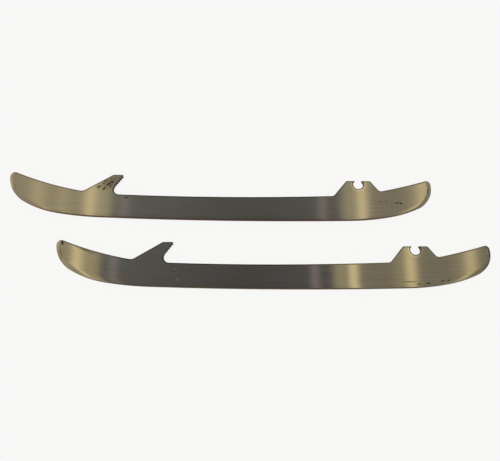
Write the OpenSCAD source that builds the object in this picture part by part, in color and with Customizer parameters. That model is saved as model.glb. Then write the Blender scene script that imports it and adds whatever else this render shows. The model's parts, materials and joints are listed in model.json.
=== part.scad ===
// A pair of hockey skate runners: stainless steel blades that lie flat, side by side.
// Each runner is one strip of steel. Its lower edge is the rocker that meets the ice,
// and its upper edge has a toothed hook at the toe and a tab with a keyhole at the heel.
// Millimetres. +X runs from toe to heel, +Y from the ice towards the boot, +Z off the table.

/* [Steel] */
// Length from the front of the toe to the back of the heel
runner_l = 280; // [240:1:320]
// Thickness of the steel
steel_t = 3; // [2:0.1:4]
// Radius of the rocker, the long curve that meets the ice
rocker_r = 2850; // [2000:50:4500]
// How far the rocker's lowest point lies behind the runner's middle
rocker_back = 28; // [10:1:40]
// Height of the bar between the hook and the tab, where it is lowest
bar_h = 16; // [13:0.1:18]
// Radius of the bar's hollow upper edge
bar_top_r = 2000; // [1200:50:5000]
// How far the lowest point of the bar's upper edge lies behind the runner's middle
bar_back = 6.6; // [-10:0.1:25]

/* [Toe] */
// Height of the toe's tip
toe_h = 32.9; // [30:0.1:37]
// Radius where the rocker starts to rise
toe_lead_r = 225; // [150:1:300]
// Slope at which the rise tightens
toe_lead_a = 9.5; // [7:0.1:12]
// Radius of the toe's sweep
toe_sweep_r = 66; // [50:1:80]
// Slope at which the sweep tightens into the nose
toe_sweep_a = 30.5; // [26:0.1:35]
// Radius of the nose
toe_nose_r = 20; // [16:0.1:24]
// Radius of the tip's corner
toe_tip_r = 3.2; // [2:0.1:5]
// Slope of the upper edge at the tip
toe_top_a = 22.4; // [18:0.1:28]
// Height of the upper edge in front of the hook
toe_neck_h = 19.6; // [18:0.1:22]

/* [Heel] */
// Height of the heel's tip
heel_h = 28.3; // [26:0.1:32]
// Radius where the rocker starts to rise
heel_lead_r = 160; // [110:1:220]
// Slope at which the rise tightens
heel_lead_a = 10.6; // [8:0.1:13]
// Radius of the heel's sweep
heel_sweep_r = 77; // [60:1:95]
// Slope at which the sweep tightens into the nose
heel_sweep_a = 25.5; // [21:0.1:30]
// Radius of the nose
heel_nose_r = 15.2; // [12:0.1:18]
// Radius of the tip's corner
heel_tip_r = 2.6; // [2:0.1:5]
// Slope of the upper edge at the tip
heel_top_a = 16.6; // [12:0.1:22]
// Height of the upper edge behind the tab
heel_neck_h = 20.5; // [18:0.1:23]

/* [Ground tips] */
// Width of the ground band round each tip, where it is widest
bevel_w = 2.8; // [1:0.1:4]
// Depth of the ground band below each face, where it is widest
bevel_d = 0.6; // [0.2:0.1:0.9]

/* [Hook] */
// Distance from the front of the toe to the point of the hook
hook_tip_x = 75.4; // [69:0.1:82]
// Height of the hook
hook_h = 31.4; // [29:0.1:35]
// Length of the hook's flat top
hook_top_l = 6.6; // [4:0.1:9]
// Height of the hook's lip above the first tooth
hook_lip_h = 1.4; // [0.4:0.1:1.8]
// Slope of the hook's back
hook_back_a = 31.2; // [27:0.1:36]
// Radius of the corner between the hook's back and its top
hook_corner_r = 2; // [0.5:0.1:4]
// Radius at the foot of the hook's back
hook_foot_r = 5; // [2:0.1:8]
// Slope of the toothed face
hook_face_a = 53.5; // [48:0.1:60]
// Number of teeth
tooth_count = 6; // [4:1:6]
// Distance from tooth to tooth
tooth_pitch = 1.75; // [1.4:0.05:1.85]
// Depth of the teeth
tooth_d = 0.85; // [0.4:0.05:1]
// How far the last tooth stands out over the throat
throat_step = 0.55; // [0.3:0.05:0.9]
// Radius of the throat below the hook
throat_r = 3.7; // [2:0.1:4.5]

/* [Tab] */
// Distance from the middle of the tab to the back of the heel
tab_to_heel = 48.2; // [44:0.1:55]
// Height of the tab
tab_h = 28; // [26:0.1:31]
// Length of the tab's flat top
tab_top_l = 15.8; // [13:0.1:19]
// Slope of the tab's sides
tab_side_a = 51.4; // [45:0.1:60]
// Radius of the tab's two upper corners
tab_corner_r = 1.4; // [0.5:0.1:3]
// Radius at the feet of the tab's sides
tab_foot_r = 3; // [1:0.1:5]
// Diameter of the keyhole, the round seat in the tab's top
keyhole_d = 6.6; // [6:0.1:8]
// Width of the keyhole's mouth, where the seat opens through the tab's top
mouth_w = 4.5; // [3:0.1:5.5]

/* [Layout] */
// How far the right runner lies behind the left one, along the length
pair_stagger = 35; // [0:0.5:60]
// Distance across the pair, from lowest point to lowest point
pair_spacing = 46.3; // [40:0.1:80]
// Turn of the left runner on the table, in degrees
left_turn = -0.4; // [-2:0.05:2]
// Turn of the right runner on the table, in degrees
right_turn = 0.15; // [-2:0.05:2]

/* [Hidden] */

$fn = 96;
STEEL = [0.52, 0.49, 0.41];
// Largest turn between neighbouring points of an arc, and the fewest steps in a long one
ARC_STEP = 4;
ARC_STEPS_MIN = 5;
// Steps along the bowed upper edges and along the bar
BOW_STEPS = 8;
// Bow, in degrees, below which an edge is taken as straight
STRAIGHT_A = 0.01;
// Share of an edge that a fillet may take where its neighbour has one too, and where it hasn't
SHARED_EDGE = 0.5;
OWN_EDGE = 0.95;
// How far a cutter reaches past the surface that it cuts
OVERCUT = 0.5;
// Width at which a ground band starts, just clear of the steel
BAND_START = -0.02;
// How far a ground band runs on past the nose, in radii of the tip's corner
BAND_RUN_ON = 3;

// Places along the runner, measured from the front of the toe
rocker_low = runner_l / 2 + rocker_back;
bar_low = runner_l / 2 + bar_back;
tab_x = runner_l - tab_to_heel;

// A direction in the plane, and the outward normal of an edge that runs that way
function along(heading) = [cos(heading), sin(heading)];
function outward(heading) = [sin(heading), -cos(heading)];
function steps(turn) = max(ARC_STEPS_MIN, ceil(abs(turn) / ARC_STEP));

// The lower edge from its lowest point to one tip, as arcs that turn left and meet tangentially.
// Each arc is [centre, radius, heading at its start, heading at its end].
// The rocker takes up what length the tighter arcs leave.
function end_arcs(length, lead_r, lead_a, sweep_r, sweep_a, nose_r, tip_r, tip_h, top_a) =
    let (
        rise_l = (lead_r - sweep_r) * sin(lead_a) + (sweep_r - nose_r) * sin(sweep_a) + nose_r,
        rocker_a = asin((length - rise_l) / (rocker_r - lead_r)),
        rocker_c = [0, rocker_r],
        lead_c = rocker_c + (rocker_r - lead_r) * outward(rocker_a),
        sweep_c = lead_c + (lead_r - sweep_r) * outward(lead_a),
        nose_c = sweep_c + (sweep_r - nose_r) * outward(sweep_a),
        nose_a = acos((nose_c.y + tip_r - tip_h) / (nose_r - tip_r)),
        tip_c = nose_c + (nose_r - tip_r) * outward(nose_a)
    )
    [
        [rocker_c, rocker_r, 0, rocker_a],
        [lead_c, lead_r, rocker_a, lead_a],
        [sweep_c, sweep_r, lead_a, sweep_a],
        [nose_c, nose_r, sweep_a, nose_a],
        [tip_c, tip_r, nose_a, 180 + top_a]
    ];

// Headings along one arc, without its start
function arc_headings(arc) =
    let (n = steps(arc[3] - arc[2]))
    [for (i = [1:n]) arc[2] + (arc[3] - arc[2]) * i / n];

function arc_points(arc) = [for (h = arc_headings(arc)) arc[0] + arc[1] * outward(h)];

// An arc that leaves one point with a given heading and ends at another, without its end
function bowed_edge(start, heading, end) =
    let (
        chord = end - start,
        lean = atan2(chord.y, chord.x) - heading,
        half = lean - 360 * round(lean / 360)
    )
    [for (i = [0:BOW_STEPS - 1])
        let (
            f = i / BOW_STEPS,
            share = abs(half) < STRAIGHT_A ? f : sin(f * half) / sin(half)
        )
        start + norm(chord) * share * along(heading + f * half)];

// The edge of one end: from the lowest point round the tip and back to the foot of the hook or tab
function end_edge(arcs, top_a, foot) =
    let (
        lower = [for (arc = arcs) each arc_points(arc)],
        tip = lower[len(lower) - 1],
        upper = bowed_edge(tip, 180 + top_a, foot)
    )
    concat(lower, [for (i = [1:BOW_STEPS - 1]) upper[i]]);

// A corner between two edges, as the points of its fillet.
// The fillet shares an edge with a neighbour that has one too, and shrinks to fit.
function fillet(before, corner, after) =
    let (
        to_before = [before.x - corner.x, before.y - corner.y],
        to_after = [after.x - corner.x, after.y - corner.y],
        u = to_before / norm(to_before),
        v = to_after / norm(to_after),
        half = acos(max(-1, min(1, u * v))) / 2,
        room_before = norm(to_before) * (before.z > 0 ? SHARED_EDGE : OWN_EDGE),
        room_after = norm(to_after) * (after.z > 0 ? SHARED_EDGE : OWN_EDGE),
        reach = min(corner.z / tan(half), room_before, room_after),
        r = reach * tan(half),
        centre = [corner.x, corner.y] + (u + v) / norm(u + v) * r / sin(half),
        first = [corner.x, corner.y] + u * reach - centre,
        last = [corner.x, corner.y] + v * reach - centre,
        start_a = atan2(first.y, first.x),
        turn = atan2(first.x * last.y - first.y * last.x, first * last),
        n = steps(turn)
    )
    [for (i = [0:n]) centre + r * along(start_a + turn * i / n)];

// A closed outline from corners [x, y, fillet radius]
function rounded(corners) =
    let (n = len(corners))
    [for (i = [0:n - 1])
        each corners[i].z > 0
            ? fillet(corners[(i + n - 1) % n], corners[i], corners[(i + 1) % n])
            : [[corners[i].x, corners[i].y]]];

// Where a line from inside the bar's hollow edge meets that edge
bar_c = [bar_low, bar_h + bar_top_r];
function onto_bar(p, dir) =
    let (q = p - bar_c, b = q * dir)
    p + dir * (sqrt(b * b - q * q + bar_top_r * bar_top_r) - b);
function bar_top(x) = bar_c.y - sqrt(bar_top_r * bar_top_r - pow(x - bar_c.x, 2));

// The hook: its crests and roots run down the toothed face from its point
hook_tip = [hook_tip_x, hook_h - hook_lip_h];
face_dir = along(180 + hook_face_a);
face_inward = along(90 + hook_face_a);
crests = [for (i = [0:tooth_count - 1]) hook_tip + face_dir * tooth_pitch * i];
tooth_flank = face_dir * tooth_pitch / 2 + face_inward * tooth_d;
last_tooth = crests[tooth_count - 1];
throat_top = last_tooth - tooth_flank * throat_step / tooth_flank.x;
throat = onto_bar(throat_top, [0, -1]);
hook_lip = [hook_tip.x, hook_h];
hook_back = [hook_lip.x - hook_top_l, hook_h];
hook_foot = hook_back + (hook_h - toe_neck_h) * [-1 / tan(hook_back_a), -1];

// The tab and its keyhole, whose centre is as deep as the mouth's width asks for
tab_front = [tab_x - tab_top_l / 2, tab_h];
tab_back = [tab_x + tab_top_l / 2, tab_h];
tab_front_foot = onto_bar(tab_front, along(180 + tab_side_a));
tab_back_foot = tab_back + (tab_h - heel_neck_h) * [1 / tan(tab_side_a), -1];
keyhole_drop = sqrt(pow(keyhole_d, 2) - pow(mouth_w, 2)) / 2;
keyhole = [tab_x, tab_h - keyhole_drop];

// The two ends, each measured outwards from the rocker's lowest point
toe_arcs = end_arcs(rocker_low, toe_lead_r, toe_lead_a, toe_sweep_r, toe_sweep_a,
    toe_nose_r, toe_tip_r, toe_h, toe_top_a);
heel_arcs = end_arcs(runner_l - rocker_low, heel_lead_r, heel_lead_a, heel_sweep_r, heel_sweep_a,
    heel_nose_r, heel_tip_r, heel_h, heel_top_a);
function from_toe(p) = [rocker_low - p.x, p.y];
function from_heel(p) = [rocker_low + p.x, p.y];
toe_edge = end_edge(toe_arcs, toe_top_a, from_toe(hook_foot));
heel_edge = end_edge(heel_arcs, heel_top_a, [tab_back_foot.x - rocker_low, tab_back_foot.y]);

// The whole outline, from the rocker's lowest point round the heel, along the top and round the toe
function vertex(p, r = 0) = [p.x, p.y, r];
outline = rounded(concat(
    [[rocker_low, 0, 0]],
    [for (p = heel_edge) vertex(from_heel(p))],
    [vertex(tab_back_foot, tab_foot_r)],
    [vertex(tab_back, tab_corner_r)],
    [vertex(tab_front, tab_corner_r)],
    [vertex(tab_front_foot, tab_foot_r)],
    [for (i = [1:BOW_STEPS - 1])
        let (x = tab_front_foot.x + (throat.x - tab_front_foot.x) * i / BOW_STEPS)
        [x, bar_top(x), 0]],
    [vertex(throat, throat_r)],
    [vertex(throat_top)],
    [vertex(last_tooth)],
    [for (i = [tooth_count - 2:-1:0]) each [vertex(crests[i] + tooth_flank), vertex(crests[i])]],
    [vertex(hook_lip)],
    [vertex(hook_back, hook_corner_r)],
    [vertex(hook_foot, hook_foot_r)],
    [for (i = [len(toe_edge) - 1:-1:0]) vertex(from_toe(toe_edge[i]))]
));

// The pair on the table: each runner turns about its lowest point,
// and the middle of the pair's box is at the origin
function turned(p, a) = [p.x * cos(a) - p.y * sin(a), p.x * sin(a) + p.y * cos(a)];
function laid(p, place, a) = place + turned([p.x - rocker_low, p.y], a);
left_place = [0, 0];
right_place = [pair_stagger, -pair_spacing];
laid_points = concat(
    [for (p = outline) laid(p, left_place, left_turn)],
    [for (p = outline) laid(p, right_place, right_turn)]
);
xs = [for (p = laid_points) p.x];
ys = [for (p = laid_points) p.y];
pair_middle = [min(xs) + max(xs), min(ys) + max(ys)] / 2;

// The ground band of one end, as the wedge of steel that grinding takes off the upper face.
// It widens with the slope of the edge and runs straight off the tip.
module ground_band(arcs) {
    lead = arcs[1];
    nose = arcs[3];
    tip_r = arcs[4][1];
    slope = bevel_d / bevel_w;
    start_a = lead[2];
    end_a = nose[3];
    start = lead[0] + lead[1] * outward(start_a);
    headings = concat([start_a], [for (i = [1:3]) each arc_headings(arcs[i])]);
    edge = concat([start], [for (i = [1:3]) each arc_points(arcs[i])]);
    last = len(headings) - 1;
    stations = concat(
        [for (i = [0:last])
            [edge[i], headings[i],
                BAND_START + (bevel_w - BAND_START) * (headings[i] - start_a) / (end_a - start_a)]],
        [[edge[last] + along(end_a) * tip_r * BAND_RUN_ON, end_a, bevel_w]]
    );
    points = [for (s = stations)
        let (
            n = outward(s[1]),
            inner = s[0] - n * (s[2] + OVERCUT),
            outer = s[0] + n * OVERCUT
        )
        each [
            [inner.x, inner.y, steel_t + slope * OVERCUT],
            [outer.x, outer.y, steel_t - slope * (s[2] + OVERCUT)],
            [outer.x, outer.y, steel_t + slope * OVERCUT]
        ]];
    end = 3 * (len(stations) - 1);
    sides = [for (i = [0:len(stations) - 2], k = [0:2])
        let (a = 3 * i + k, b = 3 * i + (k + 1) % 3)
        each [[a, b, b + 3], [a, b + 3, a + 3]]];
    polyhedron(points, concat([[0, 2, 1]], sides, [[end, end + 1, end + 2]]));
}

// The bands of both faces at one end
module ground_tip(arcs) {
    ground_band(arcs);
    translate([0, 0, steel_t]) mirror([0, 0, 1]) ground_band(arcs);
}

// One runner, with the rocker's lowest point at the origin
module runner() {
    difference() {
        translate([-rocker_low, 0, 0]) linear_extrude(steel_t) polygon(outline);
        translate([keyhole.x - rocker_low, keyhole.y, -OVERCUT])
            cylinder(d = keyhole_d, h = steel_t + 2 * OVERCUT);
        ground_tip(heel_arcs);
        mirror([1, 0, 0]) ground_tip(toe_arcs);
    }
}

module lay_down(place, turn) {
    translate([place.x - pair_middle.x, place.y - pair_middle.y, 0]) rotate(turn) children();
}

module left_runner() {
    color(STEEL) lay_down(left_place, left_turn) runner();
}

module right_runner() {
    color(STEEL) lay_down(right_place, right_turn) runner();
}

left_runner();
right_runner();
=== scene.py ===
"""A pair of hockey skate runners in brushed stainless steel, lying flat on a pale table.

Metres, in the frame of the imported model: +X from toe to heel, +Y from the ice edge to the boot, +Z up.
Each runner is rebuilt from its own outline, with rolled edges and the ground bands of its tips.
"""
import json
import math

import bmesh
import bpy
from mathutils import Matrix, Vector
from mathutils.bvhtree import BVHTree


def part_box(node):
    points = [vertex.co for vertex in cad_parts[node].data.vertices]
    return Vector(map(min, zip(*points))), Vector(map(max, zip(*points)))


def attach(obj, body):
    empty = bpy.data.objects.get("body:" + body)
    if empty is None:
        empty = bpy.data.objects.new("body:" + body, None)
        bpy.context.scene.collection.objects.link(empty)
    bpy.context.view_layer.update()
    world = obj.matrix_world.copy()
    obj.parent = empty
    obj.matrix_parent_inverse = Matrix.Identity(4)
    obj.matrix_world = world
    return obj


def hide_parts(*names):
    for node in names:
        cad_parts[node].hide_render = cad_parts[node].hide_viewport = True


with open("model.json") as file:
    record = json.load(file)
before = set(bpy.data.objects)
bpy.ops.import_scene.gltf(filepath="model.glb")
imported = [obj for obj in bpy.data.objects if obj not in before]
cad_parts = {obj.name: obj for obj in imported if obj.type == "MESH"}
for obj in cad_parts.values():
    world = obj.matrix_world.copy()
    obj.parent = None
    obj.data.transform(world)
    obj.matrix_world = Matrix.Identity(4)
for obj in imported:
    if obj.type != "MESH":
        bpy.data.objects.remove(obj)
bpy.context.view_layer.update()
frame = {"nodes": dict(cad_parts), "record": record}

MM = 0.001
RUNNERS = ("left_runner", "right_runner")

# The photograph's camera: what it looks at, its lean from straight down, its lens, and how near it sees
LOOK_AT = Vector((2.54, -0.21, 0)) * MM
CAMERA_LEAN = math.radians(19.5)
CAMERA_AWAY = 516.5 * MM
IMAGE_W = 500
FOCAL_PX = 790
SENSOR_W = 36
NEAREST = 10 * MM

# Edges of the steel: the width and height of the roll that stamping leaves,
# and the crisper rounding of the teeth and of the running edge
SHEARED_W = 0.85 * MM
SHEARED_H = 0.3 * MM
TOOTH_R = 0.15 * MM
RUNNING_R = 0.2 * MM
# How wide and deep polishing has rolled the face off beside the running edge
ROLL_W = 2.8 * MM
ROLL_D = 0.05 * MM
# A ground band is flat where it is this wide, and rolled where it is narrower
GROUND_FROM = 1.7 * MM
GROUND_FULL = 2.2 * MM
# A round band falls away from the face with this power of the way across it, and a flat one with one less
ROUND_FALL = 2.0
# The heel whose band is ground round all over
ROUND_HEEL = "right_runner"
# A tooth's flanks are shorter than this, and meet at least this sharply
TOOTH_FLANK = 1.5 * MM
TOOTH_TURN = math.radians(35)
# Painted light at a point of the outline: a painted highlight on the teeth's tips, and painted shade between
# them and in the keyhole
PAINTED_LIT = 1
PAINTED_SHADE = -1

# Steps across an edge and across a band, fine enough to shade smoothly
EDGE_STEPS = 10
BAND_STEPS = 6
# Edges that turn further than this stay sharp, and so do the borders of faces with more corners than a quad
SHARP_A = math.radians(8)
QUAD_CORNERS = 4
# How finely the arc of the keyhole is drawn
ARC_PARTS = 4
# Points of an outline that turn less than this are left out
STRAIGHT_A = math.radians(0.05)
# No mitre is longer than that of a corner whose half turn has this cosine
MITRE_LEAST = 0.3
# From how high and how far in from an edge the ground bands are felt for, and how closely
PROBE_HEIGHT = 1
PROBE_START = 0.05 * MM
PROBE_REACH = 4 * MM
PROBE_TURNS = 14
# What counts as level with the face, and as on a circle
FLAT_TOL = 0.002 * MM
CIRCLE_TOL = 0.02 * MM

MATH = "ShaderNodeMath"
VECTOR_MATH = "ShaderNodeVectorMath"
MIX = "ShaderNodeMix"
RAMP = "ShaderNodeMapRange"
STORE = "GeometryNodeStoreNamedAttribute"
SET_POSITION = "GeometryNodeSetPosition"
SMOOTH = "GeometryNodeSetShadeSmooth"
SOFT = {"interpolation_type": "SMOOTHSTEP"}


def srgb(code):
    """Linear colour of an sRGB hex code."""
    parts = [int(code[i:i + 2], 16) / 255 for i in (0, 2, 4)]
    linear = [p / 12.92 if p <= 0.04045 else ((p + 0.055) / 1.055) ** 2.4 for p in parts]
    return (*linear, 1)


def add(tree, kind, inputs=(), **settings):
    """Adds a node with its settings. Inputs are values, sockets or nodes, by name or in order."""
    node = tree.nodes.new(kind)
    for name, value in settings.items():
        setattr(node, name, value)
    shown = [s for s in node.inputs if s.enabled]
    if isinstance(inputs, dict):
        inputs = [(next(s for s in shown if s.name == name), value) for name, value in inputs.items()]
    else:
        inputs = zip(shown, inputs)
    for socket, value in inputs:
        for source in value if isinstance(value, list) else [value]:
            if isinstance(source, bpy.types.Node):
                source = next(s for s in source.outputs if s.enabled)
            if isinstance(source, bpy.types.NodeSocket):
                tree.links.new(source, socket)
            else:
                socket.default_value = source
    return node


# Outlines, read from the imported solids

def keyhole_of(name):
    """Centre and radius of a runner's keyhole, from its mount in the record."""
    mount = next(m for m in frame["record"]["mounts"] if m["name"] == name.replace("runner", "keyhole"))
    return Vector(mount["pos_m"][:2]), mount["dims"]["r_mm"] * MM


def section(cad, height):
    """The closed outline of a solid at one height, as points in order, counter-clockwise from above."""
    bm = bmesh.new()
    bm.from_mesh(cad.data)
    bmesh.ops.remove_doubles(bm, verts=bm.verts, dist=FLAT_TOL)
    cut = bmesh.ops.bisect_plane(
        bm, geom=bm.verts[:] + bm.edges[:] + bm.faces[:], plane_co=(0, 0, height), plane_no=(0, 0, 1))
    edges = {e for e in cut["geom_cut"] if isinstance(e, bmesh.types.BMEdge)}
    start = min((v for e in edges for v in e.verts), key=lambda v: v.co[:])
    points, vert, last = [], start, None
    while not points or vert is not start:
        points.append(Vector(vert.co[:2]))
        last = next(e for e in vert.link_edges if e in edges and e is not last)
        vert = last.other_vert(vert)
    bm.free()
    area = sum(a.cross(b) for a, b in zip(points, points[1:] + points[:1]))
    return points if area > 0 else points[::-1]


def without_straights(points):
    """Drops the points that lie on a straight stretch."""
    kept = []
    for before, here, after in zip(points[-1:] + points[:-1], points, points[1:] + points[:1]):
        if abs((here - before).angle_signed(after - here)) > STRAIGHT_A:
            kept.append(here)
    return kept


def on_circle(point, centre, radius):
    """Whether a point lies on a circle."""
    return abs((point - centre).length - radius) < CIRCLE_TOL


def rounder(points, centre, radius):
    """Divides the stretches that lie on a circle, so that they follow it closely."""
    finer = []
    for here, after in zip(points, points[1:] + points[:1]):
        finer.append(here)
        on_arc = on_circle(here, centre, radius) and on_circle(after, centre, radius)
        if on_arc and (here - after).length < radius:
            for i in range(1, ARC_PARTS):
                between = here.lerp(after, i / ARC_PARTS) - centre
                finer.append(centre + between.normalized() * radius)
    return finer


def outward(before, here, after):
    """Where a corner moves when both its edges move out by one: its mitre."""
    a = (here - before).normalized()
    b = (after - here).normalized()
    normal = (Vector((a.y, -a.x)) + Vector((b.y, -b.x))).normalized()
    return normal / max(normal.dot(Vector((a.y, -a.x))), MITRE_LEAST)


def ground_band(solid, point, inward, top):
    """Width and depth of the ground band at a point of the outline, felt from above."""
    def depth(reach):
        spot = point + inward * reach
        hit = solid.ray_cast(Vector((spot.x, spot.y, PROBE_HEIGHT)), Vector((0, 0, -1)))[0]
        return top - hit.z if hit else 0

    if depth(PROBE_START) < FLAT_TOL:
        return 0, 0
    low, high = PROBE_START, PROBE_REACH
    for _ in range(PROBE_TURNS):
        middle = (low + high) / 2
        if depth(middle) > FLAT_TOL:
            low = middle
        else:
            high = middle
    return high, depth(high / 2) * 2


# What an outline carries at each point: its inward mitre, how far in the face ends, the depth and fall
# of the band from there, the half axes of the rounding that follows, how far in and at which angle
# that starts, whether the point is on the running edge, and its painted light and shade
OUTLINE_FIELDS = {
    "inward": "FLOAT_VECTOR",
    "face_in": "FLOAT",
    "band_d": "FLOAT",
    "band_p": "FLOAT",
    "round_w": "FLOAT",
    "round_h": "FLOAT",
    "round_in": "FLOAT",
    "round_a": "FLOAT",
    "running": "FLOAT",
    "wear": "FLOAT",
}
# What a runner's surface carries for its finish: how far round the edge and across the band a point is,
# whether the band is flat, whether the edge is the running one, and its painted light and shade. All are
# zero on the faces.
SURFACE_FIELDS = ("edge", "band", "ground", "running", "wear")


def outline_rows(name, points, in_hole):
    """What each point of a runner's outline carries, by field."""
    mesh = frame["nodes"][name].data
    solid = BVHTree.FromPolygons([v.co for v in mesh.vertices], [p.vertices for p in mesh.polygons])
    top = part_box(name)[1].z
    count = len(points)
    toe = min(range(count), key=lambda i: points[i].x)
    heel = max(range(count), key=lambda i: points[i].x)
    rows = []
    for i, here in enumerate(points):
        before = points[i - 1]
        after = points[(i + 1) % count]
        out = outward(before, here, after)
        running = (i - toe) % count < (heel - toe) % count
        flanks = here - before, after - here
        sharp = flanks[0].angle(flanks[1]) > TOOTH_TURN and min(f.length for f in flanks) < TOOTH_FLANK
        tooth = sharp and not in_hole[i]
        # Painted shade in the keyhole and between the teeth, and a painted highlight on the teeth's tips
        wear = 0
        if tooth or in_hole[i]:
            wear = PAINTED_SHADE
        if tooth and flanks[0].cross(flanks[1]) > 0:
            wear = PAINTED_LIT

        width, depth = ground_band(solid, here, -out.normalized(), top)
        flat = min(max((width - GROUND_FROM) / (GROUND_FULL - GROUND_FROM), 0), 1)
        round_w, round_h = SHEARED_W, SHEARED_H
        if tooth:
            round_w = round_h = TOOTH_R
        if running:
            round_w = round_h = RUNNING_R
            width = max(width, ROLL_W)
            depth = ROLL_D + (depth - ROLL_D) * flat
        width = max(width, round_w)
        fall = ROUND_FALL - flat
        if name == ROUND_HEEL and here.x > 0:
            fall = ROUND_FALL
        angle = math.atan(fall * depth / width * round_w / round_h)
        rows.append({
            "inward": -out.to_3d(),
            "face_in": width,
            "band_d": depth,
            "band_p": fall,
            "round_w": round_w,
            "round_h": round_h,
            "round_in": round_w * (1 - math.sin(angle)),
            "round_a": angle,
            "running": running,
            "wear": wear,
        })
    return rows


def gather_at_lips(points, rows, in_hole):
    """Runs the points beside a lip of the keyhole together on the lip's own corner.

    Otherwise the rounding of the hole would cross that of the tab's top there.
    """
    count = len(points)
    for lip in range(count):
        for way in (1, -1):
            if in_hole[lip] and in_hole[(lip + way) % count] and not in_hole[(lip - way) % count]:
                along = (points[lip] - points[(lip - way) % count]) * way
                beyond = Vector((along.y, -along.x)).normalized()
                corner = points[lip] + rows[lip]["inward"].to_2d() * SHEARED_W
                i = (lip + way) % count
                while (points[i] + rows[i]["inward"].to_2d() * SHEARED_W - corner).dot(beyond) > 0:
                    rows[i]["inward"] = ((corner - points[i]) / SHEARED_W).to_3d()
                    i = (i + way) % count


def outline_mesh(name):
    """A runner's outline as a loop of edges that carries what the section along it needs."""
    low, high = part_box(name)
    centre, radius = keyhole_of(name)
    points = section(frame["nodes"][name], (low.z + high.z) / 2)
    points = rounder(without_straights(points), centre, radius)
    in_hole = [on_circle(p, centre, radius) for p in points]
    rows = outline_rows(name, points, in_hole)
    gather_at_lips(points, rows, in_hole)

    count = len(points)
    mesh = bpy.data.meshes.new(name + "_outline")
    mesh.from_pydata([p.to_3d() for p in points], [(i, (i + 1) % count) for i in range(count)], [])
    for field, kind in OUTLINE_FIELDS.items():
        data = mesh.attributes.new(field, kind, "POINT").data
        for item, row in zip(data, rows):
            setattr(item, "vector" if kind == "FLOAT_VECTOR" else "value", row[field])
    return mesh


# The runner: one section, rounded at its edges, carried round the outline

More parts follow.
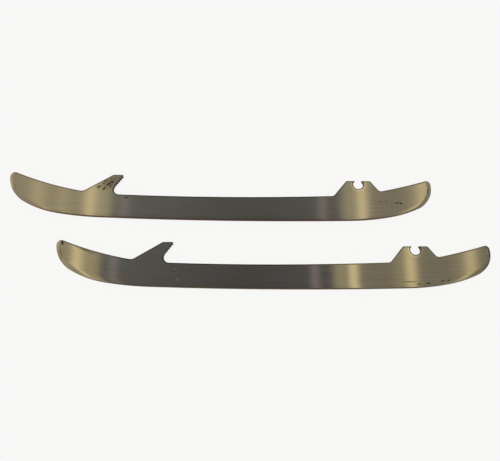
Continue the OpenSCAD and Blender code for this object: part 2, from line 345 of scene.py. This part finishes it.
def runner_tree():
    """Nodes that turn an outline into a runner: two flat faces, and rings between them round the edge."""
    tree = bpy.data.node_groups.new("runner_from_outline", "GeometryNodeTree")
    for name, kind in (("Outline", "Geometry"), ("Thickness", "Float"), ("Band Steps", "Int"),
                       ("Edge Steps", "Int"), ("Steel", "Material")):
        tree.interface.new_socket(name=name, in_out="INPUT", socket_type="NodeSocket" + kind)
    tree.interface.new_socket(name="Runner", in_out="OUTPUT", socket_type="NodeSocketGeometry")

    given = add(tree, "NodeGroupInput").outputs
    outline = given["Outline"]
    band_steps = given["Band Steps"]
    edge_steps = given["Edge Steps"]
    place = add(tree, "GeometryNodeInputPosition")
    fields = {"place": ("FLOAT_VECTOR", place)}
    for name, kind in OUTLINE_FIELDS.items():
        fields[name] = kind, add(tree, "GeometryNodeInputNamedAttribute", [name], data_type=kind)

    # Rings run from the upper face's line over the wall to the lower face's line,
    # and columns run round the outline, the last on top of the first
    size = add(tree, "GeometryNodeAttributeDomainSize", [outline], component="MESH")
    count = size.outputs["Point Count"]
    steps = add(tree, MATH, [band_steps, edge_steps], operation="ADD")
    last = add(tree, MATH, [steps, 2.0, 1.0], operation="MULTIPLY_ADD")
    rings = add(tree, MATH, [last, 1.0], operation="ADD")
    columns = add(tree, MATH, [count, 1.0], operation="ADD")
    grid = add(tree, "GeometryNodeMeshGrid", [last, count, rings, columns])
    spot = add(tree, "ShaderNodeSeparateXYZ", [place]).outputs
    ring = add(tree, MATH, [last, 0.5, spot["X"]], operation="MULTIPLY_ADD")
    ring = add(tree, MATH, [ring], operation="ROUND")
    column = add(tree, MATH, [count, 0.5, spot["Y"]], operation="MULTIPLY_ADD")
    column = add(tree, MATH, [column], operation="ROUND")
    column = add(tree, MATH, [column, count], operation="FLOORED_MODULO")
    here = {}
    for name, (kind, field) in fields.items():
        here[name] = add(tree, "GeometryNodeSampleIndex", [outline, field, column],
                         data_type=kind, domain="POINT")

    # Steps from the nearer face to the wall: first down the band, then round the edge
    back = add(tree, MATH, [last, ring], operation="SUBTRACT")
    step = add(tree, MATH, [ring, back], operation="MINIMUM")
    band = add(tree, MATH, [step, band_steps], operation="DIVIDE", use_clamp=True)
    beyond = add(tree, MATH, [step, band_steps], operation="SUBTRACT")
    turn = add(tree, MATH, [beyond, edge_steps], operation="DIVIDE", use_clamp=True)

    # How far in each step is
    flank = add(tree, MIX, [band, here["face_in"], here["round_in"]], data_type="FLOAT")
    angle = add(tree, MIX, [turn, here["round_a"], math.pi / 2], data_type="FLOAT")
    sine = add(tree, MATH, [angle], operation="SINE")
    left = add(tree, MATH, [1.0, sine], operation="SUBTRACT")
    ahead = add(tree, MATH, [flank, here["round_in"]], operation="SUBTRACT")
    inset = add(tree, MATH, [left, here["round_w"], ahead], operation="MULTIPLY_ADD")

    # How far down it is
    across = add(tree, MATH, [flank, here["face_in"]], operation="DIVIDE")
    across = add(tree, MATH, [1.0, across], operation="SUBTRACT", use_clamp=True)
    down = add(tree, MATH, [across, here["band_p"]], operation="POWER")
    down = add(tree, MATH, [down, here["band_d"]], operation="MULTIPLY")
    cosine = add(tree, MATH, [angle], operation="COSINE")
    start = add(tree, MATH, [here["round_a"]], operation="COSINE")
    curl = add(tree, MATH, [start, cosine], operation="SUBTRACT")
    drop = add(tree, MATH, [curl, here["round_h"], down], operation="MULTIPLY_ADD")
    height = add(tree, MATH, [given["Thickness"], drop], operation="SUBTRACT")
    upper = add(tree, MATH, [ring, back], operation="LESS_THAN")
    height = add(tree, MIX, [upper, drop, height], data_type="FLOAT")
    raised = add(tree, "ShaderNodeCombineXYZ", {"Z": height})
    moved = add(tree, VECTOR_MATH, [here["inward"], inset, here["place"]], operation="MULTIPLY_ADD")

    # What the finish reads
    flat = add(tree, MATH, [ROUND_FALL, here["band_p"]], operation="SUBTRACT")
    begun = add(tree, MATH, [step, 1.0], operation="MINIMUM")
    ground = add(tree, MATH, [begun, flat], operation="MULTIPLY")
    running = add(tree, MATH, [begun, here["running"]], operation="MULTIPLY")
    # The painted light and shade of the teeth and the keyhole, carried onto the rings
    wear = add(tree, MATH, [begun, here["wear"]], operation="MULTIPLY")
    rim = grid.outputs["Mesh"]
    for name, value in zip(SURFACE_FIELDS, (turn, band, ground, running, wear)):
        rim = add(tree, STORE, {"Geometry": rim, "Name": name, "Value": value},
                  data_type="FLOAT", domain="POINT")
    rim = add(tree, SET_POSITION, {"Geometry": rim, "Position": moved, "Offset": raised})
    rim = add(tree, SMOOTH, {"Geometry": rim, "Shade Smooth": True})

    # The two faces, filled to the same lines
    inner = add(tree, VECTOR_MATH, [fields["inward"][1], fields["face_in"][1], place],
                operation="MULTIPLY_ADD")
    line = add(tree, SET_POSITION, {"Geometry": outline, "Position": inner})
    curve = add(tree, "GeometryNodeMeshToCurve", [line])
    lower_face = add(tree, "GeometryNodeFillCurve", [curve], mode="NGONS")
    lower_face = add(tree, SMOOTH, {"Geometry": lower_face, "Shade Smooth": False})
    top = add(tree, "ShaderNodeCombineXYZ", {"Z": given["Thickness"]})
    upper_face = add(tree, SET_POSITION, {"Geometry": lower_face, "Offset": top})
    joined = add(tree, "GeometryNodeJoinGeometry", [[upper_face, lower_face, rim]])
    welded = add(tree, "GeometryNodeMergeByDistance", {"Geometry": joined, "Distance": FLAT_TOL})

    # A map whose U runs along the grain, for the direction of the brushing
    across = add(tree, MATH, [spot["Y"], spot["Z"]], operation="ADD")
    grain = add(tree, "ShaderNodeCombineXYZ", [spot["X"], across])
    mapped = add(tree, STORE, {"Geometry": welded, "Name": "grain", "Value": grain},
                 data_type="FLOAT2", domain="CORNER")
    real = add(tree, "GeometryNodeRealizeInstances", [mapped])
    finished = add(tree, "GeometryNodeSetMaterial", {"Geometry": real, "Material": given["Steel"]})
    add(tree, "NodeGroupOutput", [finished])
    return tree


def make_runner(name, tree, steel):
    """Builds one runner in place of its CAD node."""
    low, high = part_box(name)
    source = bpy.data.objects.new(name + "_source", outline_mesh(name))
    bpy.context.collection.objects.link(source)
    modifier = source.modifiers.new("runner", "NODES")
    modifier.node_group = tree
    given = {
        "Thickness": high.z - low.z,
        "Band Steps": BAND_STEPS,
        "Edge Steps": EDGE_STEPS,
        "Steel": steel,
    }
    for item in tree.interface.items_tree:
        if item.name in given:
            modifier[item.identifier] = given[item.name]
    evaluated = source.evaluated_get(bpy.context.evaluated_depsgraph_get())
    mesh = bpy.data.meshes.new_from_object(evaluated)
    bpy.data.objects.remove(source)

    bm = bmesh.new()
    bm.from_mesh(mesh)
    bmesh.ops.dissolve_degenerate(bm, edges=bm.edges, dist=FLAT_TOL)
    bmesh.ops.recalc_face_normals(bm, faces=bm.faces)
    # Only the two flat faces have more corners than a quad
    for edge in bm.edges:
        beside_face = any(len(f.verts) > QUAD_CORNERS for f in edge.link_faces)
        edge.smooth = not beside_face and edge.calc_face_angle(0) < SHARP_A
    bm.to_mesh(mesh)
    bm.free()
    piece = bpy.data.objects.new(name + "_steel", mesh)
    bpy.context.collection.objects.link(piece)
    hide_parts(name)
    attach(piece, name)
    return piece


# Finishes

# Brushed steel between its dull and its bright streaks, the warm film that age leaves on it
# in soft patches, and the bare metal that a bolt has burnished
STEEL_DULL = "BEBCB1"
STEEL_BRIGHT = "CAC8BE"
STEEL_FILM = "C3BCA2"
STEEL_BURNISHED = "FBF4E2"
FILM_SHARE = 0.35
ROUGH_FINE = {"left_runner": 0.08, "right_runner": 0.065}
ROUGH_STREAKED = {"left_runner": 0.1, "right_runner": 0.085}
ROUGH_STAINED = 0.4
# How strongly the grain pulls reflections apart, and its turn from the map's U, in whole turns
GRAIN_PULL = 1.0
GRAIN_TURN = 0.25
STREAK_DEPTH = 0.002 * MM
SHEAR_DEPTH = 0.03 * MM
# Sheared edges, left raw: their roll, dull along the bar and lighter towards the tips as a painted
# highlight, and walls with dark scale, painted shade in the keyhole and between the teeth, rust along the
# running edge, and pale bare steel where grinding has bared an edge, the same colour serving as a painted
# highlight round the tips and on the teeth's tips
EDGE_ROLL = "4A443A"
EDGE_ROLL_HIGHLIGHT = "9A8F78"
EDGE_SCALE = "4A4239"
EDGE_SCRAPED_AND_SHADE = "61584C"
EDGE_PAINTED_SHADE = "1C1611"
EDGE_RUST = {"left_runner": "74453F", "right_runner": "6A5437"}
RUST_THIN = 0.55
EDGE_BARE_AND_HIGHLIGHT = "B4A88C"
# Where round an edge, from face to wall, the roll and the wall begin
ROLL_FROM = (0.0, 0.2)
WALL_FROM = (0.7, 0.95)
# Painted highlight: the roll turns lighter towards the tips, how far from this place in X
ROLL_HIGHLIGHT_MIDDLE = -15 * MM
ROLL_HIGHLIGHT_FROM = (62 * MM, 80 * MM)
# Painted highlight on the running edge round the tips: how far from a runner's middle it begins, and how
# strong
TIP_HIGHLIGHT_FROM = (95 * MM, 125 * MM)
TIP_HIGHLIGHT_SHARE = {"left_runner": 0.15, "right_runner": 0.6}
# How bare grinding leaves an edge, and the levels of painted light that show as a painted highlight and as
# painted shade
GROUND_BARE = {"left_runner": 0.65, "right_runner": 1.0}
PAINTED_LIT_RANGE = (0.5, 1.0)
PAINTED_SHADE_RANGE = (0.0, -0.3)
# The round heel's rim, darkened as a painted dark reflection: how far from the runner's middle and across
# its band, and how dark
RIM_TIP = (132 * MM, 137 * MM)
RIM_FROM = (0.45, 0.75)
RIM_SHADE_SHARE = 0.5
# A dark line where a flat band begins, and where across the band it ends
GROUND_LINE = "4A4136"
LINE_ACROSS = (0.45, 0.15)
LINE_SHARE = 0.6
# Patterns in mm and their detail, and the levels between which each goes from one look to the other.
# The belt's streaks and the marks that shearing leaves across a wall are drawn coarser than real ones,
# so that they still show at arm's length.
PATTERNS = {
    "streaks": ((35, 0.6, 0.6), 3.0),
    "film": ((16, 9, 9), 2.0),
    "ragged": ((0.9, 0.9, 0.9), 2.0),
    "shear": ((0.5, 0.5, 5), 2.0),
    "rust": ((25, 25, 25), 3.0),
}
STREAK_RANGE = (0.3, 0.7)
FILM_RANGE = (0.35, 0.7)
RAGGED_RANGE = (0.35, 0.65)
SHEAR_RANGE = (0.35, 0.65)
RUST_RANGE = (0.25, 0.5)
# The runners lie bowed by a few hundredths of a millimetre, one hollow and one crowned:
# the height's lean, curve and twist along X
BOW = (0.00218, 0.00567, 0.0582)
BOW_SIDE = {"left_runner": 1, "right_runner": -1}
# Burnished ring round a keyhole: how far off its edge, to each side of the ring's middle, and how bare
RING_OFF = 1.05 * MM
RING_HALF = 0.45 * MM
RING_SHARE = 0.7

# Stains and nicks of the upper faces: how deep they show on the walls, how far their borders wobble
# and how softly they end, and then each one's place, half length and half width in mm,
# turn in degrees, colour and strength
MARK_DEEP = 1.2 * MM
MARK_WOBBLE = 0.6
MARK_BORDER = (1.25, 0.15)
MARKS = {
    "left_runner": (
        (-89.6, 32.9, 7.5, 4.4, 42, "86827A", 0.6),
        (-97.5, 29.6, 1.9, 1.4, 20, "7E765C", 0.85),
        (-94.1, 28.3, 1.7, 0.8, 53, "453C24", 1.0),
        (-94.7, 31.8, 1.3, 0.9, 20, "6B6248", 0.75),
        (-93.4, 33.7, 1.4, 1.0, 20, "75634B", 0.75),
        (-91.2, 31.4, 2.0, 0.8, 38, "3E3A22", 0.95),
        (-89.0, 32.8, 1.2, 0.9, 0, "4A3E30", 0.95),
        (-89.9, 30.0, 0.6, 1.7, 0, "6E4A38", 0.85),
        (-79.1, 21.8, 1.5, 0.7, 0, "2E2618", 1.0),
        (102.0, 17.6, 1.2, 0.9, -20, "3E2A18", 1.0),
        (99.4, 17.9, 2.7, 0.8, 0, "57472E", 0.8),
        (92.6, 19.3, 1.3, 0.7, 0, "6A5F45", 0.7),
        (87.9, 18.6, 1.4, 0.8, 0, "6A5F45", 0.7),
    ),
    "right_runner": (
        (115.9, -36.9, 2.0, 0.6, 0, "3A2E14", 1.0),
        (125.0, -35.1, 1.2, 0.7, 5, "3E3620", 1.0),
        (128.8, -34.8, 1.3, 0.7, 0, "463C26", 0.9),
        (103.0, -35.8, 7.0, 0.5, 0, "6E6448", 0.5),
        (110.0, -37.3, 2.2, 0.5, 0, "544A33", 0.8),
        (-45.3, -27.7, 0.7, 0.6, 0, "F2EBD2", 0.9),
        (-43.6, -34.4, 0.7, 0.6, 0, "F2EBD2", 0.9),
        (-46.3, -28.9, 0.7, 0.6, 0, "5A5040", 0.7),
        (-118.7, -9.6, 1.0, 2.2, 15, "2A1C14", 1.0),
        (-102.5, -15.1, 8.0, 1.0, -22, "685E4A", 0.5),
    ),
}


def brushed_face(tree, name, place, pattern):
    """Colour and roughness of the faces, with their stains and the ring round the keyhole."""
    # Streaks of the belt, and the film in patches
    share = add(tree, RAMP, [pattern["streaks"], *STREAK_RANGE], **SOFT)
    colour = add(tree, MIX, [share, srgb(STEEL_DULL), srgb(STEEL_BRIGHT)], data_type="RGBA")
    rough = add(tree, MIX, [share, ROUGH_FINE[name], ROUGH_STREAKED[name]], data_type="FLOAT")
    share = add(tree, RAMP, [pattern["film"], *FILM_RANGE, 0.0, FILM_SHARE], **SOFT)
    colour = add(tree, MIX, [share, colour, srgb(STEEL_FILM)], data_type="RGBA")

    # Stains with ragged borders
    face_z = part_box(name)[1].z
    ragged = add(tree, MATH, [pattern["ragged"], MARK_WOBBLE, -MARK_WOBBLE / 2], operation="MULTIPLY_ADD")
    for x, y, half_l, half_w, turn, stain, strength in MARKS[name]:
        local = add(tree, "ShaderNodeMapping", {
            "Vector": place,
            "Location": (x * MM, y * MM, face_z),
            "Rotation": (0, 0, math.radians(turn)),
            "Scale": (half_l * MM, half_w * MM, MARK_DEEP),
        }, vector_type="TEXTURE")
        off = add(tree, VECTOR_MATH, [local], operation="LENGTH")
        off = add(tree, MATH, [off, ragged], operation="ADD")
        share = add(tree, RAMP, [off, *MARK_BORDER, 0.0, strength], **SOFT)
        colour = add(tree, MIX, [share, colour, srgb(stain)], data_type="RGBA")
        rough = add(tree, MIX, [share, rough, ROUGH_STAINED], data_type="FLOAT")

    # Burnished ring round the keyhole
    centre, radius = keyhole_of(name)
    local = add(tree, VECTOR_MATH, [place, (centre.x, centre.y, 0)], operation="SUBTRACT")
    local = add(tree, VECTOR_MATH, [local, (1, 1, 0)], operation="MULTIPLY")
    off = add(tree, VECTOR_MATH, [local], operation="LENGTH")
    off = add(tree, MATH, [off, radius + RING_OFF], operation="SUBTRACT")
    off = add(tree, MATH, [off], operation="ABSOLUTE")
    share = add(tree, RAMP, [off, RING_HALF, RING_HALF / 2, 0.0, RING_SHARE], **SOFT)
    colour = add(tree, MIX, [share, colour, srgb(STEEL_BURNISHED)], data_type="RGBA")
    return colour, rough


def ground_bands(tree, name, behind, at, colour):
    """Colour of the faces with the bands of the tips: the dark line where one begins, and the painted dark
    reflection on the round heel's rim.
    """
    share = add(tree, RAMP, [at["band"], *LINE_ACROSS, 0.0, LINE_SHARE], **SOFT)
    share = add(tree, MATH, [share, at["ground"]], operation="MULTIPLY")
    colour = add(tree, MIX, [share, colour, srgb(GROUND_LINE)], data_type="RGBA")
    if name == ROUND_HEEL:
        # Painted dark reflection on the round heel's rim
        heel = add(tree, RAMP, [behind, *RIM_TIP], **SOFT)
        share = add(tree, RAMP, [at["band"], *RIM_FROM, 0.0, RIM_SHADE_SHARE], **SOFT)
        share = add(tree, MATH, [share, heel], operation="MULTIPLY")
        colour = add(tree, MIX, [share, colour, srgb(EDGE_SCRAPED_AND_SHADE)], data_type="RGBA")
    return colour


def raw_edges(tree, name, along, behind, pattern, at):
    """Colours of the edges' roll and of their walls: bare where they are ground, with a painted highlight on
    the teeth's tips and round the tips, and painted shade between the teeth and in the keyhole.
    """
    # Painted highlight on the teeth's tips, joined below by the real bare steel of ground edges
    bare_and_lit = add(tree, RAMP, [at["wear"], *PAINTED_LIT_RANGE], **SOFT)
    ground = add(tree, MATH, [at["ground"], GROUND_BARE[name]], operation="MULTIPLY")
    bare_and_lit = add(tree, MATH, [bare_and_lit, ground], operation="MAXIMUM")
    # Painted highlight on the running edge round the tips
    reach = add(tree, MATH, [behind], operation="ABSOLUTE")
    tip_highlight = add(tree, RAMP, [reach, *TIP_HIGHLIGHT_FROM, 0.0, TIP_HIGHLIGHT_SHARE[name]], **SOFT)
    tip_highlight = add(tree, MATH, [tip_highlight, at["running"]], operation="MULTIPLY")
    bare_and_lit = add(tree, MATH, [bare_and_lit, tip_highlight], operation="MAXIMUM")

    # Painted highlight: the roll lightens towards the tips
    reach = add(tree, MATH, [along, ROLL_HIGHLIGHT_MIDDLE], operation="SUBTRACT")
    reach = add(tree, MATH, [reach], operation="ABSOLUTE")
    roll_highlight = add(tree, RAMP, [reach, *ROLL_HIGHLIGHT_FROM], **SOFT)
    roll = add(tree, MIX, [roll_highlight, srgb(EDGE_ROLL), srgb(EDGE_ROLL_HIGHLIGHT)], data_type="RGBA")
    roll = add(tree, MIX, [bare_and_lit, roll, srgb(EDGE_BARE_AND_HIGHLIGHT)], data_type="RGBA")

    scraped = add(tree, RAMP, [pattern["shear"], *SHEAR_RANGE], **SOFT)
    wall = add(tree, MIX, [scraped, srgb(EDGE_SCALE), srgb(EDGE_SCRAPED_AND_SHADE)], data_type="RGBA")
    rust = add(tree, RAMP, [pattern["rust"], *RUST_RANGE], **SOFT)
    rust = add(tree, MATH, [rust, at["running"]], operation="MULTIPLY")
    speckle = add(tree, RAMP, [pattern["ragged"], *RAGGED_RANGE, RUST_THIN, 1.0], **SOFT)
    rust = add(tree, MATH, [rust, speckle], operation="MULTIPLY")
    wall = add(tree, MIX, [rust, wall, srgb(EDGE_RUST[name])], data_type="RGBA")
    # Painted shade between the teeth and on the keyhole's wall
    painted_shade = add(tree, RAMP, [at["wear"], *PAINTED_SHADE_RANGE], **SOFT)
    wall = add(tree, MIX, [painted_shade, wall, srgb(EDGE_PAINTED_SHADE)], data_type="RGBA")
    wall = add(tree, MIX, [bare_and_lit, wall, srgb(EDGE_BARE_AND_HIGHLIGHT)], data_type="RGBA")
    return roll, wall


def relief(tree, name, along, pattern, on_wall):
    """Normal of the surface, from the bow and the streaks of the faces and the marks across the walls."""
    lean, curve, twist = (v * BOW_SIDE[name] for v in BOW)
    bow = add(tree, MATH, [along, twist, curve], operation="MULTIPLY_ADD")
    bow = add(tree, MATH, [along, bow, lean], operation="MULTIPLY_ADD")
    bow = add(tree, MATH, [along, bow], operation="MULTIPLY")
    height = add(tree, MATH, [pattern["streaks"], STREAK_DEPTH, bow], operation="MULTIPLY_ADD")
    depth = add(tree, MATH, [on_wall, SHEAR_DEPTH], operation="MULTIPLY")
    height = add(tree, MATH, [pattern["shear"], depth, height], operation="MULTIPLY_ADD")
    return add(tree, "ShaderNodeBump", {"Height": height, "Strength": 1.0, "Distance": 1.0})


def stainless_steel(name):
    """Stainless strip, belt-ground along its length: clear reflections along the grain, smeared across."""
    material = bpy.data.materials.new("brushed_stainless_steel_" + name)
    material.use_nodes = True
    tree = material.node_tree
    tree.nodes.clear()
    place = add(tree, "ShaderNodeTexCoord").outputs["Object"]
    along = add(tree, "ShaderNodeSeparateXYZ", [place]).outputs["X"]
    low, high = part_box(name)
    behind = add(tree, MATH, [along, (low.x + high.x) / 2], operation="SUBTRACT")
    pattern = {}
    for key, (size, detail) in PATTERNS.items():
        scaled = add(tree, VECTOR_MATH, [place, Vector(size) * MM], operation="DIVIDE")
        pattern[key] = add(tree, "ShaderNodeTexNoise", {"Vector": scaled, "Scale": 1.0, "Detail": detail})
    at = {}
    for key in SURFACE_FIELDS:
        at[key] = add(tree, "ShaderNodeAttribute", attribute_name=key).outputs["Fac"]

    colour, rough = brushed_face(tree, name, place, pattern)
    colour = ground_bands(tree, name, behind, at, colour)
    roll, wall = raw_edges(tree, name, along, behind, pattern, at)
    on_roll = add(tree, RAMP, [at["edge"], *ROLL_FROM], **SOFT)
    on_wall = add(tree, RAMP, [at["edge"], *WALL_FROM], **SOFT)
    colour = add(tree, MIX, [on_roll, colour, roll], data_type="RGBA")
    colour = add(tree, MIX, [on_wall, colour, wall], data_type="RGBA")
    rough = add(tree, MIX, [on_roll, rough, ROUGH_STAINED], data_type="FLOAT")
    shader = add(tree, "ShaderNodeBsdfPrincipled", {
        "Base Color": colour,
        "Metallic": 1.0,
        "Roughness": rough,
        "Normal": relief(tree, name, along, pattern, on_wall),
        "Tangent": add(tree, "ShaderNodeTangent", direction_type="UV_MAP", uv_map="grain"),
        "Anisotropic": GRAIN_PULL,
        "Anisotropic Rotation": GRAIN_TURN,
    })
    add(tree, "ShaderNodeOutputMaterial", {"Surface": shader})
    return material


# The table: its size in metres, how far below the steel it lies, and how much of it shines evenly when seen,
# which keeps the shadow faint
FLOOR_SIZE = 6
FLOOR_DROP = 0.02 * MM
FLOOR_GLOW = 0.9
PALE = "FFFFFF"


def floor():
    """A pale matt table top that shows as the picture's white ground and keeps the runners' shadow."""
    material = bpy.data.materials.new("matt_white_table")
    material.use_nodes = True
    tree = material.node_tree
    tree.nodes.clear()
    matt = add(tree, "ShaderNodeBsdfDiffuse", {"Color": srgb(PALE)})
    glow = add(tree, "ShaderNodeEmission", {"Color": srgb(PALE), "Strength": 1.0})
    path = add(tree, "ShaderNodeLightPath").outputs
    seen = add(tree, MATH, [path["Is Camera Ray"], path["Is Glossy Ray"]], operation="MAXIMUM")
    seen = add(tree, MATH, [seen, path["Is Transmission Ray"]], operation="MAXIMUM")
    share = add(tree, MATH, [seen, FLOOR_GLOW], operation="MULTIPLY")
    mixed = add(tree, "ShaderNodeMixShader", [share, matt, glow])
    add(tree, "ShaderNodeOutputMaterial", {"Surface": mixed})
    bpy.ops.mesh.primitive_plane_add(size=FLOOR_SIZE, location=(0, 0, -FLOOR_DROP))
    plane = bpy.context.object
    plane.name = "table"
    plane.data.materials.append(material)


# The room that the steel mirrors. Angles lean from straight up, in degrees: the ceiling's towards +Y,
# from its near to its far colour, and all others towards +X. The backdrop lies low, by the ray's own Z.
CEILING_NEAR = "565656"
CEILING_FAR = "686868"
CEILING_LEAN = (13, 25)
BACKDROP = "F7F7F7"
BACKDROP_HEIGHT = (0.45, 0.25)
SPILL = "413F3D"
TOE_WALL = "867955"
HEEL_WALL = "867A5D"
LAMP = "E8D39C"
GREY_LAMP = "746968"
# The light that the walls spill on the ceiling, the walls, and strip lamps:
# middle, half width, soft border, colour, strength
ROOM = (
    (-45, 45, 11, SPILL, 1),
    (45, 45, 7, SPILL, 0.45),
    (-45, 34.3, 0.5, TOE_WALL, 1),
    (24, 17.72, 0.7, HEEL_WALL, 0.66),
    (-40, 10, 10, LAMP, 0.3),
    (-16.6, 1, 1, LAMP, 0.36),
    (-14.7, 0.9, 0.9, LAMP, 0.23),
    (-12.61, 0.7, 0.7, LAMP, 0.84),
    (-11.6, 0.9, 0.9, LAMP, 0.14),
    (-9.99, 0.6, 0.6, GREY_LAMP, 0.82),
    (5.24, 0.55, 0.55, GREY_LAMP, 1.1),
    (7.17, 0.8, 0.8, LAMP, 0.21),
    (8.2, 0.62, 0.62, LAMP, 1.12),
    (11.65, 0.65, 0.65, LAMP, 0.12),
    (12.6, 0.75, 0.75, LAMP, 0.92),
    (16.15, 0.8, 0.8, LAMP, 0.08),
    (17.15, 0.85, 0.85, LAMP, 0.74),
    (38, 3.5, 2.5, LAMP, 0.12),
)


def studio():
    """Soft studio light: a dim ceiling between warm walls, with strip lamps that hang across the runners."""
    world = bpy.data.worlds.new("studio")
    bpy.context.scene.world = world
    world.use_nodes = True
    tree = world.node_tree
    tree.nodes.clear()
    direction = add(tree, "ShaderNodeTexCoord").outputs["Generated"]
    parts = add(tree, "ShaderNodeSeparateXYZ", [direction]).outputs
    leans = {}
    for axis in "XY":
        lean = add(tree, MATH, [parts[axis], parts["Z"]], operation="ARCTAN2")
        leans[axis] = add(tree, MATH, [lean], operation="DEGREES")

    share = add(tree, RAMP, [leans["Y"], *CEILING_LEAN], **SOFT)
    light = add(tree, MIX, [share, srgb(CEILING_NEAR), srgb(CEILING_FAR)], data_type="RGBA")
    for middle, half_width, soft, colour, strength in ROOM:
        off = add(tree, MATH, [leans["X"], middle], operation="SUBTRACT")
        off = add(tree, MATH, [off], operation="ABSOLUTE")
        share = add(tree, RAMP, [off, half_width, half_width - soft, 0.0, strength], **SOFT)
        light = add(tree, MIX, [share, light, srgb(colour)], data_type="RGBA", blend_type="ADD")
    share = add(tree, RAMP, [parts["Z"], *BACKDROP_HEIGHT], **SOFT)
    light = add(tree, MIX, [share, light, srgb(BACKDROP)], data_type="RGBA")
    background = add(tree, "ShaderNodeBackground", [light])
    add(tree, "ShaderNodeOutputWorld", {"Surface": background})


def camera():
    """The photograph's camera, straight above the runners but for its lean."""
    data = bpy.data.cameras.new("camera")
    data.sensor_width = SENSOR_W
    data.lens = SENSOR_W * FOCAL_PX / IMAGE_W
    data.clip_start = NEAREST
    eye = bpy.data.objects.new("camera", data)
    eye.location = LOOK_AT + Vector((0, -math.sin(CAMERA_LEAN), math.cos(CAMERA_LEAN))) * CAMERA_AWAY
    eye.rotation_euler = (CAMERA_LEAN, 0, 0)
    bpy.context.collection.objects.link(eye)
    bpy.context.scene.camera = eye


bpy.context.scene.view_settings.view_transform = "Standard"
camera()
studio()
floor()
section_tree = runner_tree()
for runner in RUNNERS:
    make_runner(runner, section_tree, stainless_steel(runner))
